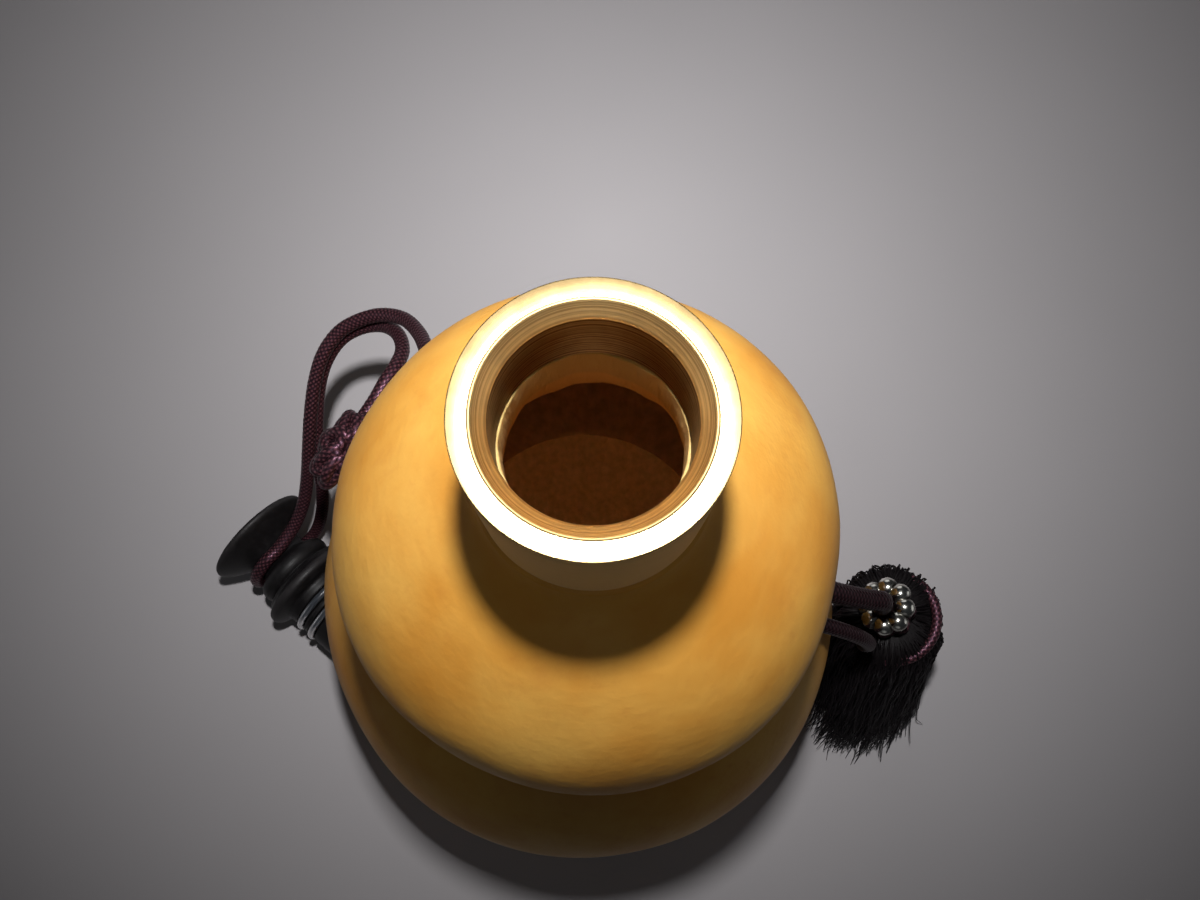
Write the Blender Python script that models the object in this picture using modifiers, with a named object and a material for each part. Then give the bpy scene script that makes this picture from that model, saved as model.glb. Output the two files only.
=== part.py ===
"""Dried bottle gourd: a hollow two-lobed shell with a brass mouth collar, a cord round its waist, a turned
stopper on a leash and a small tassel.

World frame: +Z up, origin at the middle of the flat base that the gourd stands on. Lengths below are in
millimetres and go through mm(), so the scene is in metres.
"""

import math

import bmesh
import bpy
import numpy as np
from mathutils import Matrix, Vector

# ---- Driving dimensions, in millimetres ----

LOWER_RADIUS = 59.1
LOWER_HALF_HEIGHT = 55.0
LOWER_HEIGHT = 54.0  # height of the lower lobe's widest ring
UPPER_RADIUS = 40.0
UPPER_HALF_HEIGHT = 38.2
UPPER_HEIGHT = 133.3
WALL = 4.0
WAIST_LOWER_ANGLE = 38.0  # degrees above the lower lobe's widest ring where the waist's curve starts
WAIST_UPPER_ANGLE = 42.0  # degrees below the upper lobe's widest ring where it ends
WAIST_HANDLES = (18.0, 12.0)  # length of the curve's handle at each end
SHOULDER_ANGLE = 40.0  # degrees above the upper lobe's widest ring where the neck's curve starts
UPPER_SHIFT = (2.2, 0.3)  # the upper lobe grew a little off the lower one's axis
NECK_SHIFT = (3.2, 0.3)
# How each lobe's rings leave the circle: (waves round it, part of the radius, angle of a crest in radians).
LOWER_SWELL = ((2, 0.004, -1.7), (3, 0.008, 2.8), (4, 0.006, -2.1))
UPPER_SWELL = ((2, 0.002, 0.4), (3, 0.006, 3.1), (4, 0.004, 2.5))

TOP = 201.7
COLLAR_RADIUS = 14.25
COLLAR_BORE_RADIUS = 10.4
COLLAR_CHAMFER_RADIUS = 11.9
COLLAR_CHAMFER_DEPTH = 1.65
COLLAR_BORE_LENGTH = 14.0
COLLAR_FOOT = 179.0
NECK_RADIUS = 12.2
MOUTH_RADIUS = 9.9
MOUTH_FOOT = 177.0  # where the neck's hole opens into the upper chamber
GAP = 0.3

STOPPER_HEAD_RADIUS = 15.0
STOPPER_FLANGE_RADIUS = 13.8
STOPPER_BODY_RADIUS = 10.0
STOPPER_NECK_RADIUS = 7.0
STOPPER_LENGTH = 42.0
GROOVE_AT = 9.8  # the leash's groove, measured from the head's rim
FLANGE_AT = 21.0
SEALS_AT = (27.4, 31.4)
SEAL_RADIUS = 9.85
SEAL_THICKNESS = 1.8
STOPPER_RIM_CENTRE = (-91.7, 18.0)
STOPPER_AZIMUTH = -40.0  # degrees, the way its tip points

WAIST_CORD_DIAMETER = 3.4
WAIST_CORD_RADIUS = 31.1
WAIST_CORD_HEIGHTS = (102.2, 105.8)  # of its lower and its upper turn
WAIST_CORD_CLIMB = (250.0, 330.0)  # degrees of the first turn over which it climbs to the second
LEASH_DIAMETER = 3.4
NOOSE_RADIUS = 9.1
NOOSE_START = 78.0  # degrees round the stopper's groove
NOOSE_END = 300.0
SHOULDER_CORD_DIAMETER = 3.4
TASSEL_CORD_DIAMETER = 4.4
TASSEL_LOWER_CORD_DIAMETER = 3.2

KNOT_CENTRE = (-53.1, 27.5, 77.9)
KNOT_RADII = (5.3, 9.6, 6.2)  # away from the shell, along it and up its slope
BEAD_CENTRE = (71.1, -2.6, 60.0)
BEAD_COUNT = 8
BALL_RADIUS = 1.95
BALL_RING_RADIUS = 5.05
HEAD_CENTRE = (73.1, -3.1, 54.4)
HEAD_RADIUS = 6.2
HEAD_HALF_HEIGHT = 3.0
TASSEL_LEAN = (3.9, -0.9, -9.0)  # the way the tassel's head points
CROWN_CENTRE = (75.6, -4.0, 48.6)
CROWN_RADIUS = 10.6
CROWN_THICKNESS = 2.4
SKIRT_BOTTOM = 0.2

# ---- Routes of the free cords, in millimetres ----

# From the waist, out over the shoulder in a falling arch, down to the stopper.
LEASH_OUT = (
    (-20.5, 25.2, 101.0),
    (-25.5, 32.0, 98.3),
    (-30.4, 39.6, 93.2),
    (-34.2, 47.2, 87.0),
    (-37.6, 54.0, 80.6),
    (-42.4, 59.6, 75.0),
    (-48.6, 62.2, 70.8),
    (-54.7, 62.0, 67.6),
    (-60.2, 59.8, 64.8),
    (-64.4, 55.2, 61.6),
    (-67.1, 49.4, 57.2),
    (-69.0, 42.4, 51.6),
    (-70.8, 35.2, 44.4),
    (-72.8, 29.6, 36.6),
    (-75.0, 24.4, 30.2),
    (-78.2, 19.0, 25.4),
)
# From the stopper back beside the first strand and in to the knot.
LEASH_BACK = (
    (-76.9, 20.0, 9.6),
    (-73.6, 24.4, 17.0),
    (-71.4, 29.4, 27.0),
    (-70.4, 34.8, 37.8),
    (-68.8, 42.4, 46.4),
    (-67.4, 49.4, 52.2),
    (-65.0, 55.0, 56.6),
    (-61.0, 59.6, 60.0),
    (-55.6, 61.8, 62.8),
    (-49.6, 61.4, 65.9),
    (-44.8, 57.8, 70.4),
    (-42.4, 52.4, 74.4),
    (-42.8, 47.2, 77.8),
    (-44.4, 43.2, 79.2),
    (-46.2, 39.4, 79.0),
    (-47.8, 36.9, 78.2),
)
SHOULDER_CORD_ROUTE = (
    (-28.8, 15.1, 101.6),
    (-33.2, 17.6, 100.0),
    (-38.0, 20.1, 96.4),
    (-43.0, 22.6, 91.8),
    (-47.0, 24.5, 87.4),
    (-49.9, 25.9, 83.6),
)
TASSEL_CORD_ROUTE = (
    (35.6, -1.7, 103.4),
    (39.2, -2.2, 101.6),
    (44.2, -2.8, 98.2),
    (50.0, -3.2, 93.2),
    (55.3, -3.4, 87.6),
    (60.5, -3.4, 82.1),
    (65.2, -3.2, 77.1),
    (68.8, -3.0, 71.4),
    (70.6, -2.8, 65.8),
    (71.3, -2.7, 59.8),
)
TASSEL_LOWER_CORD_ROUTE = (
    (35.5, -8.3, 101.4),
    (39.2, -8.7, 99.6),
    (44.2, -9.3, 96.0),
    (50.0, -9.9, 90.8),
    (55.3, -10.5, 85.0),
    (60.0, -11.2, 79.0),
    (63.4, -11.7, 72.0),
    (65.2, -11.8, 65.0),
    (65.6, -11.2, 59.4),
    (66.6, -9.4, 54.8),
)
SKIRT_ROUTE = (  # (x, y, z) and the radius there
    ((74.6, -3.5, 50.4), 6.6),
    ((75.5, -4.4, 45.4), 7.2),
    ((75.8, -6.3, 41.4), 10.6),
    ((76.2, -9.4, 34.0), 12.4),
    ((77.2, -14.4, 22.0), 14.0),
    ((78.0, -19.8, 10.0), 15.2),
    ((78.4, -24.6, -2.0), 15.6),
)

CORD_SPACING = 3.9


def mm(value):
    return value / 1000


def clear_scene():
    for obj in list(bpy.data.objects):
        bpy.data.objects.remove(obj)


def linear(channel):
    return channel / 12.92 if channel <= 0.04045 else ((channel + 0.055) / 1.055) ** 2.4


def new_material(name, colour, roughness, metallic=0.0):
    """A Principled material; colour is an sRGB hex string."""
    material = bpy.data.materials.new(name)
    material.use_nodes = True
    shader = material.node_tree.nodes["Principled BSDF"]
    rgb = [linear(int(colour[i : i + 2], 16) / 255) for i in (0, 2, 4)]
    shader.inputs["Base Color"].default_value = (*rgb, 1)
    shader.inputs["Roughness"].default_value = roughness
    shader.inputs["Metallic"].default_value = metallic
    return material


def new_object(name, mesh, collection, material, smooth_angle=40):
    """Links a mesh as an object, shaded smooth with its sharp edges kept."""
    obj = bpy.data.objects.new(name, mesh)
    collection.objects.link(obj)
    mesh.materials.clear()
    mesh.materials.append(material)
    mesh.shade_smooth()
    mesh.set_sharp_from_angle(angle=math.radians(smooth_angle))
    return obj


def turned(name, profile, steps, collection, material, axis=None, centre=(0, 0, 0), closed=False):
    """A profile of (radius, height) points turned round its own Z, then stood along axis at centre."""
    mesh = bpy.data.meshes.new(name)
    count = len(profile)
    edges = [(i, i + 1) for i in range(count - 1)]
    if closed:
        edges.append((count - 1, 0))
    mesh.from_pydata([(mm(r), 0, mm(z)) for r, z in profile], edges, [])
    obj = bpy.data.objects.new(name, mesh)
    collection.objects.link(obj)
    mesh.materials.append(material)
    screw = obj.modifiers.new("Turn", "SCREW")
    screw.steps = steps
    screw.render_steps = steps
    screw.use_merge_vertices = True
    screw.merge_threshold = 0.00001
    screw.use_smooth_shade = True
    obj.location = [mm(value) for value in centre]
    if axis is not None:
        obj.rotation_euler = Vector(axis).to_track_quat("Z", "Y").to_euler()
    return obj


def evaluated_mesh(obj):
    """The object's mesh with its modifiers or bevel applied, in its own space; the object is removed."""
    bpy.context.view_layer.update()
    graph = bpy.context.evaluated_depsgraph_get()
    mesh = bpy.data.meshes.new_from_object(obj.evaluated_get(graph))
    bpy.data.objects.remove(obj)
    return mesh


def ellipse_arc(radius, half_height, height, start, end, count):
    """(radius, height) points of an ellipse, from start to end in degrees above its widest ring."""
    angles = np.radians(np.linspace(start, end, count))
    return np.stack([radius * np.cos(angles), height + half_height * np.sin(angles)], axis=1)


def ellipse_tangent(radius, half_height, degrees):
    """The unit direction in which the ellipse's arc climbs."""
    angle = math.radians(degrees)
    climb = np.array([-radius * math.sin(angle), half_height * math.cos(angle)])
    return climb / np.linalg.norm(climb)


def bezier(first, first_handle, last_handle, last, count):
    """Points of a cubic curve through first and last, without the two ends."""
    t = np.linspace(0, 1, count + 2)[1:-1, None]
    return (
        (1 - t) ** 3 * first
        + 3 * (1 - t) ** 2 * t * first_handle
        + 3 * (1 - t) * t**2 * last_handle
        + t**3 * last
    )


def lobes(inset, lowest_angle, shoulder_handle, neck_handle, neck_end, counts):
    """The two lobes from the lowest point up to the neck, drawn inset from the skin by a wall."""
    low_r, low_h = LOWER_RADIUS - inset, LOWER_HALF_HEIGHT - inset
    up_r, up_h = UPPER_RADIUS - inset, UPPER_HALF_HEIGHT - inset
    lower = ellipse_arc(low_r, low_h, LOWER_HEIGHT, lowest_angle, WAIST_LOWER_ANGLE, counts[0])
    upper = ellipse_arc(up_r, up_h, UPPER_HEIGHT, -WAIST_UPPER_ANGLE, SHOULDER_ANGLE, counts[2])
    waist = bezier(
        lower[-1],
        lower[-1] + WAIST_HANDLES[0] * ellipse_tangent(low_r, low_h, WAIST_LOWER_ANGLE),
        upper[0] - WAIST_HANDLES[1] * ellipse_tangent(up_r, up_h, -WAIST_UPPER_ANGLE),
        upper[0],
        counts[1],
    )
    shoulder = bezier(
        upper[-1],
        upper[-1] + shoulder_handle * ellipse_tangent(up_r, up_h, SHOULDER_ANGLE),
        np.array(neck_handle),
        np.array(neck_end),
        counts[3],
    )
    return np.concatenate([lower, waist, upper, shoulder])


def gourd_profile():
    """Up the inner wall, over the cut lip, and down the skin to the flat base."""
    base_angle = math.degrees(math.asin(-LOWER_HEIGHT / LOWER_HALF_HEIGHT))
    mouth_foot = (10.3, MOUTH_FOOT)
    skin_top = (14.5, COLLAR_FOOT - 2 * GAP)
    inner = lobes(WALL, -84, 10, (12.5, 172.0), mouth_foot, (9, 4, 8, 4))
    skin = lobes(0, base_angle, 16, (15.4, 171.5), skin_top, (13, 6, 11, 5))
    lip = TOP - COLLAR_BORE_LENGTH - GAP
    up = [(0, WALL - 1.0), *inner, mouth_foot, (MOUTH_RADIUS, MOUTH_FOOT + 2.5)]
    over = [(MOUTH_RADIUS, lip), (NECK_RADIUS, lip), (NECK_RADIUS, COLLAR_FOOT - GAP)]
    down = [skin_top, *skin[::-1], (0, 0)]
    return up + over + down


def ease(value):
    """0 to 1 with level ends."""
    value = np.clip(value, 0, 1)
    return value * value * (3 - 2 * value)


def waves(angle, terms):
    return sum(size * np.cos(count * angle - crest) for count, size, crest in terms)


def grow(mesh):
    """Moves a turned shell's points as the fruit grew: its axis bends, and its rings aren't quite round."""
    points = np.empty(len(mesh.vertices) * 3, np.float32)
    mesh.vertices.foreach_get("co", points)
    points = points.reshape(-1, 3).astype(np.float64) * 1000
    height = points[:, 2]
    upper = ease((height - LOWER_HEIGHT) / (UPPER_HEIGHT - LOWER_HEIGHT))
    neck = ease((height - UPPER_HEIGHT) / (COLLAR_FOOT - 2 - UPPER_HEIGHT))
    angle = np.arctan2(points[:, 1], points[:, 0])
    swell = (1 - ease((height - LOWER_HEIGHT) / 44)) * waves(angle, LOWER_SWELL)
    swell += ease((height - 108) / 25) * (1 - ease((height - UPPER_HEIGHT) / 35)) * waves(angle, UPPER_SWELL)
    for i in (0, 1):
        points[:, i] *= 1 + swell
        points[:, i] += UPPER_SHIFT[i] * upper + (NECK_SHIFT[i] - UPPER_SHIFT[i]) * neck
    mesh.vertices.foreach_set("co", (points / 1000).astype(np.float32).ravel())


def make_gourd_shell(collection):
    material = new_material("gourd_skin", "C8913F", 0.42)
    lathe = turned("gourd_shell_lathe", gourd_profile(), 44, collection, material)
    mesh = evaluated_mesh(lathe)
    grow(mesh)
    new_object("gourd_shell", mesh, collection, material)


def make_mouth_collar(collection):
    """A turned brass ring: chamfered bore above, and a socket below that the gourd's neck stands in."""
    material = new_material("brass", "C9A25A", 0.24, 1.0)
    edge = 0.35
    seat = TOP - COLLAR_BORE_LENGTH
    socket = NECK_RADIUS + GAP
    profile = [
        (COLLAR_CHAMFER_RADIUS, TOP),
        (COLLAR_RADIUS - edge, TOP),
        (COLLAR_RADIUS, TOP - edge),
        (COLLAR_RADIUS, COLLAR_FOOT + edge),
        (COLLAR_RADIUS - edge, COLLAR_FOOT),
        (socket, COLLAR_FOOT),
        (socket, seat),
        (COLLAR_BORE_RADIUS, seat),
        (COLLAR_BORE_RADIUS, TOP - COLLAR_CHAMFER_DEPTH),
    ]
    turned("mouth_collar", profile, 48, collection, material, centre=(*NECK_SHIFT, 0), closed=True)


def stopper_frame():
    """The stopper's rim centre and the direction of its tip: it lies on its head's rim and its flange."""
    drop = math.asin((STOPPER_HEAD_RADIUS - STOPPER_FLANGE_RADIUS) / FLANGE_AT)
    turn = math.radians(STOPPER_AZIMUTH)
    tip = Vector((math.cos(turn) * math.cos(drop), math.sin(turn) * math.cos(drop), -math.sin(drop)))
    rim = Vector((*STOPPER_RIM_CENTRE, STOPPER_HEAD_RADIUS * math.cos(drop) + 0.05 + 1.2 * math.sin(drop)))
    return rim, tip


def make_stopper(collection):
    material = new_material("black_lacquer", "141214", 0.3)
    seal_half = SEAL_THICKNESS / 2 + GAP
    groove = SEAL_RADIUS - SEAL_THICKNESS / 2 - GAP
    body = STOPPER_BODY_RADIUS
    outline = [
        (0, 1.4),
        (11.2, 0.8),
        (13.6, 0.0),
        (14.6, 0.3),
        (STOPPER_HEAD_RADIUS, 1.2),
        (14.5, 2.1),
        (11.8, 4.2),
        (9.4, 5.8),
        (7.8, 7.4),
        (STOPPER_NECK_RADIUS, GROOVE_AT - 1.6),
        (STOPPER_NECK_RADIUS, GROOVE_AT + 1.6),
        (8.8, 12.4),
        (10.4, 13.4),
        (10.8, 15.4),
        (10.2, 16.9),
        (9.4, 17.5),
        (11.8, 18.1),
        (12.2, 19.0),
        (STOPPER_FLANGE_RADIUS, 20.0),
        (STOPPER_FLANGE_RADIUS, 22.0),
        (11.6, 23.2),
        (body, 23.5),
    ]
    for at in SEALS_AT:
        outline += [(body, at - seal_half), (groove, at - seal_half)]
        outline += [(groove, at + seal_half), (body, at + seal_half)]
    outline += [(body - 0.1, 39.5), (body - 1.6, STOPPER_LENGTH), (0, STOPPER_LENGTH)]
    rim, tip = stopper_frame()
    profile = [(radius, -along) for radius, along in outline]
    turned("stopper", profile, 32, collection, material, axis=-tip, centre=rim)


def make_stopper_seals(collection):
    material = new_material("clear_silicone", "C9CBD0", 0.3)
    rim, tip = stopper_frame()
    for name, at in zip(("stopper_seal_upper", "stopper_seal_lower"), SEALS_AT):
        bpy.ops.mesh.primitive_torus_add(
            major_radius=mm(SEAL_RADIUS),
            minor_radius=mm(SEAL_THICKNESS / 2),
            major_segments=32,
            minor_segments=8,
            location=[mm(value) for value in rim + tip * at],
            rotation=tip.to_track_quat("Z", "Y").to_euler(),
        )
        take_active(name, collection, material)


def take_active(name, collection, material):
    """Names the primitive that was just added, and moves it to the part's collection."""
    obj = bpy.context.object
    obj.name = name
    for holder in obj.users_collection:
        holder.objects.unlink(obj)
    collection.objects.link(obj)
    obj.data.materials.append(material)
    obj.data.shade_smooth()
    return obj


def smooth_route(points, spacing):
    """Even points on the Catmull-Rom curve through the given ones, spacing apart or a little less."""
    points = np.asarray(points, float)
    padded = np.vstack([2 * points[0] - points[1], points, 2 * points[-1] - points[-2]])
    t = np.linspace(0, 1, 24, endpoint=False)[:, None]
    runs = [
        0.5
        * (
            2 * b
            + (c - a) * t
            + (2 * a - 5 * b + 4 * c - d) * t**2
            + (3 * b - a - 3 * c + d) * t**3
        )
        for a, b, c, d in zip(padded, padded[1:], padded[2:], padded[3:])
    ]
    fine = np.vstack([*runs, points[-1:]])
    travelled = np.concatenate([[0], np.cumsum(np.linalg.norm(np.diff(fine, axis=0), axis=1))])
    stops = np.linspace(0, travelled[-1], math.ceil(travelled[-1] / spacing) + 1)
    return np.stack([np.interp(stops, travelled, fine[:, i]) for i in range(3)], axis=1)


def cord_tube(name, points, diameter, collection, material, radii=None):
    """A plain round tube along the points."""
    curve = bpy.data.curves.new(name, "CURVE")
    curve.dimensions = "3D"
    curve.bevel_depth = mm(diameter / 2)
    curve.bevel_resolution = 2
    curve.use_fill_caps = True
    spline = curve.splines.new("POLY")
    spline.points.add(len(points) - 1)
    for i, (place, target) in enumerate(zip(points, spline.points)):
        target.co = (*[mm(value) for value in place], 1)
        if radii is not None:
            target.radius = radii[i]
    curve.materials.append(material)
    obj = bpy.data.objects.new(name, curve)
    collection.objects.link(obj)
    return obj


def make_waist_cord(collection, material):
    """Two level turns, one on the other, joined by a short climb at the end of the first."""
    low, high = WAIST_CORD_HEIGHTS
    shift = ease(((low + high) / 2 - LOWER_HEIGHT) / (UPPER_HEIGHT - LOWER_HEIGHT))
    turn = np.linspace(0, 706, 56)
    climb_from, climb_to = WAIST_CORD_CLIMB
    angle = np.radians(turn + 96)
    points = np.stack(
        [
            WAIST_CORD_RADIUS * np.cos(angle) + UPPER_SHIFT[0] * shift,
            WAIST_CORD_RADIUS * np.sin(angle) + UPPER_SHIFT[1] * shift,
            low + (high - low) * ease((turn - climb_from) / (climb_to - climb_from)),
        ],
        axis=1,
    )
    cord_tube("waist_cord", points, WAIST_CORD_DIAMETER, collection, material)


def noose():
    """The part of the leash that lies round the stopper's groove."""
    rim, tip = stopper_frame()
    centre = rim + tip * GROOVE_AT
    side = Vector((0, 0, 1)).cross(tip).normalized()
    up = tip.cross(side)
    angles = np.radians(np.linspace(NOOSE_START, NOOSE_END, 9))
    return [tuple(centre + NOOSE_RADIUS * (math.cos(a) * side + math.sin(a) * up)) for a in angles]


def make_leash(collection, material):
    points = smooth_route([*LEASH_OUT, *noose(), *LEASH_BACK], CORD_SPACING)
    cord_tube("leash", points, LEASH_DIAMETER, collection, material)


def make_button_knot(collection, material):
    """The button knot's outer shape, lying on the lower lobe's shoulder."""
    out = Vector((KNOT_CENTRE[0], KNOT_CENTRE[1], 0)).normalized()
    slope = (KNOT_CENTRE[2] - LOWER_HEIGHT) / LOWER_HALF_HEIGHT**2
    normal = (out * (out.dot(Vector(KNOT_CENTRE)) / LOWER_RADIUS**2) + Vector((0, 0, slope))).normalized()
    along = Vector((0, 0, 1)).cross(normal).normalized()
    frame = Matrix((normal, along, normal.cross(along))).transposed()
    bm = bmesh.new()
    bmesh.ops.create_uvsphere(bm, u_segments=18, v_segments=12, radius=1)
    bmesh.ops.scale(bm, verts=bm.verts, vec=[mm(radius) for radius in KNOT_RADII])
    mesh = bpy.data.meshes.new("button_knot")
    bm.to_mesh(mesh)
    bm.free()
    obj = new_object("button_knot", mesh, collection, material)
    obj.matrix_world = Matrix.LocRotScale(Vector(KNOT_CENTRE) / 1000, frame.to_quaternion(), None)


def make_bead_ring(collection):
    """Small balls cast in one ring, which the tassel's cord goes through."""
    material = new_material("silver_plate", "C8C8C4", 0.2, 1.0)
    turn = Vector(TASSEL_LEAN).to_track_quat("-Z", "Y").to_matrix()
    balls = []
    for i in range(BEAD_COUNT):
        angle = 2 * math.pi * i / BEAD_COUNT
        offset = turn @ Vector((math.cos(angle), math.sin(angle), 0)) * BALL_RING_RADIUS
        bpy.ops.mesh.primitive_uv_sphere_add(
            segments=12,
            ring_count=8,
            radius=mm(BALL_RADIUS + 0.12),
            location=[mm(value) for value in Vector(BEAD_CENTRE) + offset],
        )
        balls.append(take_active(f"bead_ball_{i}", collection, material))
    ring = balls[0]
    for ball in balls[1:]:
        union = ring.modifiers.new(ball.name, "BOOLEAN")
        union.operation = "UNION"
        union.object = ball
    mesh = evaluated_mesh_in_world(ring)
    for ball in balls[1:]:
        bpy.data.objects.remove(ball)
    new_object("bead_ring", mesh, collection, material, smooth_angle=60)


def evaluated_mesh_in_world(obj):
    """The object's mesh with its modifiers applied and its place in the mesh; the object is removed."""
    bpy.context.view_layer.update()
    world = obj.matrix_world.copy()
    mesh = evaluated_mesh(obj)
    mesh.transform(world)
    return mesh


def make_tassel_head(collection, material):
    """The bound knot under the bead, a barrel of wound cord."""
    angles = np.radians(np.linspace(90, -90, 9))
    outline = [
        (HEAD_RADIUS * math.cos(a) ** 0.6 if abs(math.cos(a)) > 1e-6 else 0, HEAD_HALF_HEIGHT * math.sin(a))
        for a in angles
    ]
    axis = -Vector(TASSEL_LEAN)
    turned("tassel_head", outline, 24, collection, material, axis=axis, centre=HEAD_CENTRE)


def make_tassel_crown(collection, material):
    """The ring of cord that lies on the skirt's top."""
    bpy.ops.mesh.primitive_torus_add(
        major_radius=mm(CROWN_RADIUS),
        minor_radius=mm(CROWN_THICKNESS / 2),
        major_segments=28,
        minor_segments=6,
        location=[mm(value) for value in CROWN_CENTRE],
        rotation=(-Vector(TASSEL_LEAN)).to_track_quat("Z", "Y").to_euler(),
    )
    take_active("tassel_crown", collection, material)


def make_tassel_skirt(collection, material):
    """The mop of threads as one soft solid: it widens as it falls, and is cut level where it meets the floor."""
    places = smooth_route([place for place, _ in SKIRT_ROUTE], 5)
    heights = [place[2] for place, _ in SKIRT_ROUTE][::-1]
    widths = [width for _, width in SKIRT_ROUTE][::-1]
    radii = np.interp(places[:, 2], heights, widths)
    tube = cord_tube("tassel_skirt_tube", places, 2, collection, material, radii)
    tube.data.bevel_resolution = 6
    mesh = evaluated_mesh(tube)
    bm = bmesh.new()
    bm.from_mesh(mesh)
    bmesh.ops.remove_doubles(bm, verts=bm.verts, dist=0.00001)
    cut = bmesh.ops.bisect_plane(
        bm,
        geom=[*bm.verts, *bm.edges, *bm.faces],
        plane_co=(0, 0, mm(SKIRT_BOTTOM)),
        plane_no=(0, 0, -1),
        clear_outer=True,
    )
    rim = [piece for piece in cut["geom_cut"] if isinstance(piece, bmesh.types.BMEdge)]
    bmesh.ops.contextual_create(bm, geom=rim)
    bmesh.ops.recalc_face_normals(bm, faces=bm.faces)
    bm.to_mesh(mesh)
    bm.free()
    new_object("tassel_skirt", mesh, collection, material)


def main():
    clear_scene()
    collection = bpy.data.collections.new("bottle_gourd")
    bpy.context.scene.collection.children.link(collection)
    cord = new_material("brown_cord", "3A2226", 0.6)
    thread = new_material("black_thread", "18100F", 0.7)
    make_gourd_shell(collection)
    make_mouth_collar(collection)
    make_stopper(collection)
    make_stopper_seals(collection)
    make_waist_cord(collection, cord)
    shoulder = smooth_route(SHOULDER_CORD_ROUTE, CORD_SPACING)
    cord_tube("shoulder_cord", shoulder, SHOULDER_CORD_DIAMETER, collection, cord)
    make_button_knot(collection, cord)
    make_leash(collection, cord)
    tassel_route = smooth_route(TASSEL_CORD_ROUTE, CORD_SPACING)
    cord_tube("tassel_cord", tassel_route, TASSEL_CORD_DIAMETER, collection, cord)
    lower_route = smooth_route(TASSEL_LOWER_CORD_ROUTE, CORD_SPACING)
    cord_tube("tassel_lower_cord", lower_route, TASSEL_LOWER_CORD_DIAMETER, collection, cord)
    make_bead_ring(collection)
    make_tassel_head(collection, cord)
    make_tassel_crown(collection, cord)
    make_tassel_skirt(collection, thread)


main()
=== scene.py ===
"""Looks of a dried bottle gourd flask: its rind, brass mouth, stopper, braided cords and tassel.

+Z is up, and the origin is the middle of the gourd's flat base. Lengths here are in millimetres, and a mesh
takes them in metres. Each piece is a grid of points, with rows along it and columns round it.
"""

import math
from functools import partial

import bpy
import numpy as np
from bpy.props import FloatProperty, FloatVectorProperty, IntProperty, PointerProperty
from bpy.types import Operator, Panel, PropertyGroup
from mathutils import Matrix, Vector
from numpy import cos, sin


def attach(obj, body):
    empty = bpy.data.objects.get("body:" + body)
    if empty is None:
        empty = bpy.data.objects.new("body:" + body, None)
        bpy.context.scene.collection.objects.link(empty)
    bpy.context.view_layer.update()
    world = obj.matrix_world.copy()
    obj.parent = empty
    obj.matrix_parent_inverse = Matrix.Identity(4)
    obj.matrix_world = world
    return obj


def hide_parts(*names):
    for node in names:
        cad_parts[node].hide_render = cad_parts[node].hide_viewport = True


bl_info = {
    "name": "Bottle Gourd Flask",
    "version": (1, 0, 0),
    "blender": (4, 5, 0),
    "location": "3D View > Sidebar > Gourd",
    "description": "Makes a bottle gourd flask with its brass mouth, stopper, braided cords and tassel",
    "category": "Object",
}

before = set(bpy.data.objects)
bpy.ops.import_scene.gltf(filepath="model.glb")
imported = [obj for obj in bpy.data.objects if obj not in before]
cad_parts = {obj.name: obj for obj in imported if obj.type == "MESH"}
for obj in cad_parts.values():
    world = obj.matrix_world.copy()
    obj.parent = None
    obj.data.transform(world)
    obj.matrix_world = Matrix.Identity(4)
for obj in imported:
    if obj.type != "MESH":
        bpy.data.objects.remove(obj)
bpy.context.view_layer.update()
BODY = "root"
MM = 0.001

# ---- The gourd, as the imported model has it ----

LOWER_RADIUS, LOWER_HALF_HEIGHT, LOWER_HEIGHT = 59.1, 55, 54
UPPER_RADIUS, UPPER_HALF_HEIGHT, UPPER_HEIGHT = 40, 38.2, 133.3
WALL = 4
WAIST_ANGLES = (38, -42)  # where the waist's curve leaves each lobe, in degrees above its widest ring
WAIST_HANDLES = (18, 12)
SHOULDER_ANGLE = 40
SHOULDER_HANDLES = (16, 10)  # of the skin and of the inner wall
UPPER_SHIFT = np.array([2.2, 0.3])
NECK_SHIFT = np.array([3.2, 0.3])
# Waves round each lobe: (how many, part of the radius, angle of a crest).
LOWER_SWELL = ((2, 0.004, -1.7), (3, 0.008, 2.8), (4, 0.006, -2.1))
UPPER_SWELL = ((2, 0.002, 0.4), (3, 0.006, 3.1), (4, 0.004, 2.5))
# Shallow dents in the skin: (waves round, waves up in 100 mm, depth in mm, phase).
DENTS = (
    (7, 2.3, 0.1, 0.4), (5, 3.7, 0.08, 2.1), (11, 4.9, 0.05, 1.3), (3, 6.1, 0.06, 4), (17, 8.3, 0.025, 5.2)
)
# How far the neck's hole and its lower edge wander, as waves in millimetres.
RAGGED_HOLE = ((2, 0.14, 3.14), (3, 0.1, 1), (5, 0.08, 2.4), (8, 0.06, 0.6), (19, 0.04, 3))
RAGGED_FOOT = ((1, 1.2, 1.57), (2, 0.8, 0.3), (3, 0.9, 1.6), (6, 0.5, 2.2), (11, 0.2, 1.2))

NECK_RADIUS = 12.2
NECK_TOP = 189.9
SKIN_TOP = (14.5, 178.4)
MOUTH_RADIUS = 10.3
MOUTH_FOOT = 177.6
THROAT_RADIUS = 11.1

# ---- The brass mouth ----

TOP = 201.7
COLLAR_RADIUS = 14.25
COLLAR_FOOT = 179
BORE_RADIUS = 10.4
BORE_FOOT = 190.2
CHAMFER_RADIUS = 11.9
CHAMFER_DEPTH = 1.65
SOCKET_RADIUS = 12.5

# ---- The stopper ----

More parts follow.
